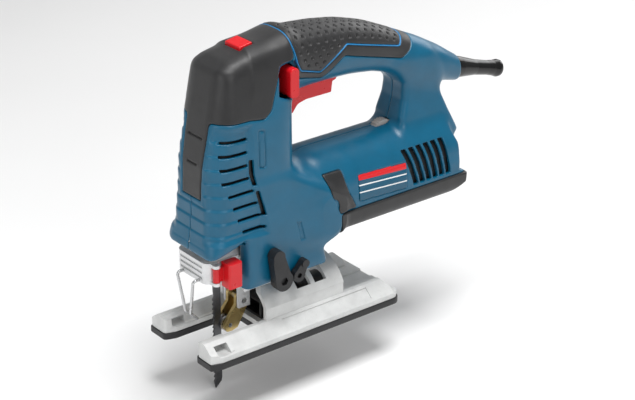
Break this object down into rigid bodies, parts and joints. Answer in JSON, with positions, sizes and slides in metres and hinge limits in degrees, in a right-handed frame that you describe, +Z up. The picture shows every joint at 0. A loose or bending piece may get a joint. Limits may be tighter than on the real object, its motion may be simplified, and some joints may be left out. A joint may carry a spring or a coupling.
{
  "type": "jigsaw power tool",
  "caption": "Barrel-motor jigsaw with closed D-handle, tilting foot, orbital plunger drive, blade guide roller, levers and a T-shank blade.",
  "frame": {"origin": "on the sole plane of the foot, on the mid-plane, at the saw blade", "axes": "-X towards the cutting front, +X towards the cord end, -Y the left side of the tool, +Z up"},
  "size_m": [0.2783, 0.0742, 0.2437],
  "materials": {
    "housing_blue": "fine moulded texture",
    "dark_rubber": "soft-touch matte",
    "accent_blue": "satin",
    "control_red": "satin",
    "black_plastic": "fine texture",
    "foot_alloy": "pale grey powder coat",
    "cast_alloy": "die-cast, lightly blasted",
    "gold_steel": "yellow-passivated steel",
    "bright_steel": "turned and ground",
    "blade_steel": "dark phosphated",
    "sintered_bronze": "oil-filled bronze",
    "laminated_steel": "stacked laminations",
    "copper": "enamelled copper",
    "carbon": "pressed carbon",
    "grey_plastic": "satin",
    "sleeve_black": "glossy flexible",
    "label_film": "satin printed film",
    "potting_green": "potted board",
    "clear_lens": "clear lens"
  },
  "bodies": {
    "foot": {"base_plate": "foot_alloy", "slide_shoe": "black_plastic", "dust_duct": "black_plastic"},
    "housing": {"left_shell": "housing_blue", "right_shell": "housing_blue", "front_hood": "dark_rubber", "handle_band": "dark_rubber", "accent_trim": "accent_blue", "grip_pad": "dark_rubber", "side_bumpers": "dark_rubber", "label_plate": "label_film", "gear_case": "cast_alloy", "contact_guard": "bright_steel", "release_pin": "bright_steel", "gear_cover": "cast_alloy", "gear_bush": "sintered_bronze", "stator_core": "laminated_steel", "stator_coils": "copper", "brush_holders": "black_plastic", "brushes": "carbon", "bearing_outer_races": "bright_steel", "bearing_balls": "bright_steel", "motor_end_bracket": "grey_plastic", "control_module": "potting_green", "saddle": "cast_alloy", "clamp_plate": "bright_steel", "clamp_bolt": "bright_steel", "bracket_pin": "bright_steel", "trigger_pin": "bright_steel", "switch_body": "black_plastic", "work_lamp": "clear_lens", "dial_pot": "black_plastic", "cord_sleeve": "sleeve_black", "housing_screws": "bright_steel"},
    "plunger_guide": {"guide_frame": "bright_steel", "plunger_bushes": "sintered_bronze"},
    "plunger_rod": {"plunger": "bright_steel", "yoke": "bright_steel", "blade_clamp": "bright_steel", "saw_blade": "blade_steel"},
    "crank": {"crank_gear": "bright_steel"},
    "armature": {"armature_shaft": "bright_steel", "pinion": "bright_steel", "fan": "grey_plastic", "armature_core": "laminated_steel", "armature_windings": "copper", "commutator": "copper", "bearing_inner_races": "bright_steel"},
    "support_bracket": {"roller_bracket": "gold_steel", "roller_pin": "bright_steel"},
    "support_roller": {"guide_roller": "bright_steel"},
    "blade_release": {"release_lever": "control_red"},
    "trigger_switch": {"trigger": "control_red"},
    "lock_on": {"lock_button": "control_red"},
    "lamp_switch": {"lamp_button": "control_red"},
    "speed_dial": {"thumbwheel": "grey_plastic"},
    "orbit_selector": {"orbit_lever": "black_plastic"},
    "blower_selector": {"blower_lever": "black_plastic"}
  },
  "joints": [
    {"name": "bevel", "type": "hinge", "parent": "foot", "child": "housing", "pos_m": [0, 0, 0.0115], "axis": [1, 0, 0], "range_deg": [-45, 45]},
    {"name": "orbit_swing", "type": "hinge", "parent": "housing", "child": "plunger_guide", "pos_m": [0, 0, 0.13995], "axis": [0, 1, 0], "range_deg": [0, 0.9]},
    {"name": "plunger_stroke", "type": "slide", "parent": "plunger_guide", "child": "plunger_rod", "axis": [0, 0, 1], "range_m": [-0.013, 0.013]},
    {"name": "motor_spin", "type": "hinge", "parent": "housing", "child": "armature", "pos_m": [0, 0, 0.091], "axis": [1, 0, 0], "continuous": true},
    {"name": "crank_spin", "type": "hinge", "parent": "housing", "child": "crank", "pos_m": [0, 0, 0.11395], "axis": [1, 0, 0], "continuous": true},
    {"name": "support_swing", "type": "hinge", "parent": "housing", "child": "support_bracket", "pos_m": [0.018, 0, 0.026], "axis": [0, 1, 0], "range_deg": [0, 7.3]},
    {"name": "roller_spin", "type": "hinge", "parent": "support_bracket", "child": "support_roller", "pos_m": [0.0085, 0, 0.0095], "axis": [0, 1, 0], "continuous": true},
    {"name": "release_turn", "type": "hinge", "parent": "housing", "child": "blade_release", "pos_m": [-0.012, -0.0201, 0.059], "axis": [0, 0, -1], "range_deg": [0, 60], "stiffness_Nm_per_rad": 0.05, "springref_deg": -22.92},
    {"name": "trigger_press", "type": "hinge", "parent": "housing", "child": "trigger_switch", "pos_m": [0.093, 0, 0.1685], "axis": [0, 1, 0], "range_deg": [0, 7], "stiffness_Nm_per_rad": 2, "springref_deg": -8.59},
    {"name": "lock_press", "type": "slide", "parent": "housing", "child": "lock_on", "axis": [0, 1, 0], "range_m": [0, 0.003], "stiffness_N_per_m": 300, "springref_m": -0.003},
    {"name": "lamp_press", "type": "slide", "parent": "housing", "child": "lamp_switch", "axis": [0, 0, -1], "range_m": [0, 0.0015], "stiffness_N_per_m": 500, "springref_m": -0.002},
    {"name": "dial_turn", "type": "hinge", "parent": "housing", "child": "speed_dial", "pos_m": [0.141, 0, 0.1126], "axis": [0, 1, 0], "range_deg": [-135, 135]},
    {"name": "orbit_turn", "type": "hinge", "parent": "housing", "child": "orbit_selector", "pos_m": [0.032, -0.03, 0.046], "axis": [0, 1, 0], "range_deg": [0, 52]},
    {"name": "blower_turn", "type": "hinge", "parent": "housing", "child": "blower_selector", "pos_m": [0.0458, -0.03, 0.0453], "axis": [0, 1, 0], "range_deg": [0, 40]}
  ],
  "couplings": [
    {"joint": "crank_spin", "follows": "motor_spin", "ratio": -0.22727},
    {"joint": "support_swing", "follows": "orbit_swing", "ratio": 8}
  ]
}
